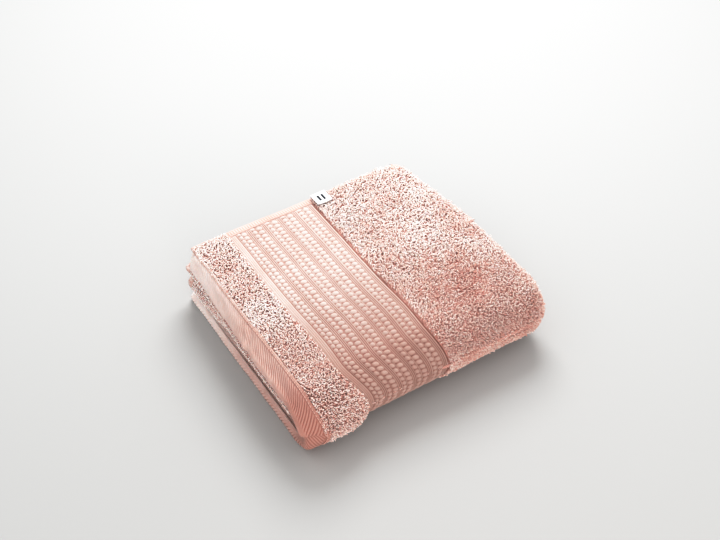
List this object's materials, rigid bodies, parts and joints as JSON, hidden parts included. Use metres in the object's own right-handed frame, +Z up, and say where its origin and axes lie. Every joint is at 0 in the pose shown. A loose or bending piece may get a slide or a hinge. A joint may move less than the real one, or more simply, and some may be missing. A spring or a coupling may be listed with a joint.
{
  "type": "folded bath towel",
  "caption": "Terry bath towel folded into a stack, with a woven dobby border, end hems and side hems; its last fold opens like a book.",
  "frame": {"origin": "middle of the underside of the folded towel, where it rests", "axes": "+Z up; -X is the face with the end hems, +X the far folds; -Y is the last fold, where the upper half hinges; +Y the back with the side hems"},
  "size_m": [0.2486, 0.231, 0.069],
  "materials": {
    "terry": "matt cotton loops",
    "dobby_weave": "matt woven cotton with raised beads",
    "hem_twill": "matt twill cotton",
    "thread": "satin sewing thread",
    "label_weave": "satin woven tape"
  },
  "bodies": {
    "lower_half": {"lower_terry_field": "terry", "lower_dobby_border": "dobby_weave", "lower_pile_strip": "terry", "lower_end_hem": "hem_twill", "lower_hem_stitching": "thread", "lower_inner_terry_field": "terry", "lower_inner_dobby_border": "dobby_weave", "lower_inner_pile_strip": "terry", "lower_inner_end_hem": "hem_twill", "lower_fold_loop": "terry", "lower_side_hem": "hem_twill", "lower_side_hem_stitching": "thread"},
    "upper_half": {"upper_terry_field": "terry", "upper_dobby_border": "dobby_weave", "upper_pile_strip": "terry", "upper_end_hem": "hem_twill", "upper_hem_stitching": "thread", "upper_inner_terry_field": "terry", "upper_inner_dobby_border": "dobby_weave", "upper_inner_pile_strip": "terry", "upper_inner_end_hem": "hem_twill", "upper_fold_loop": "terry", "upper_side_hem": "hem_twill", "upper_side_hem_stitching": "thread", "label_root": "label_weave"},
    "label_flap": {"label": "label_weave"}
  },
  "joints": [
    {"name": "fold_open", "type": "hinge", "parent": "lower_half", "child": "upper_half", "pos_m": [0, -0.1158, 0.034], "axis": [1, 0, 0], "range_deg": [0, 180]},
    {"name": "label_flip", "type": "hinge", "parent": "upper_half", "child": "label_flap", "pos_m": [0.02225, 0.11385, 0.0687], "axis": [-1, 0, 0], "range_deg": [0, 160]}
  ]
}
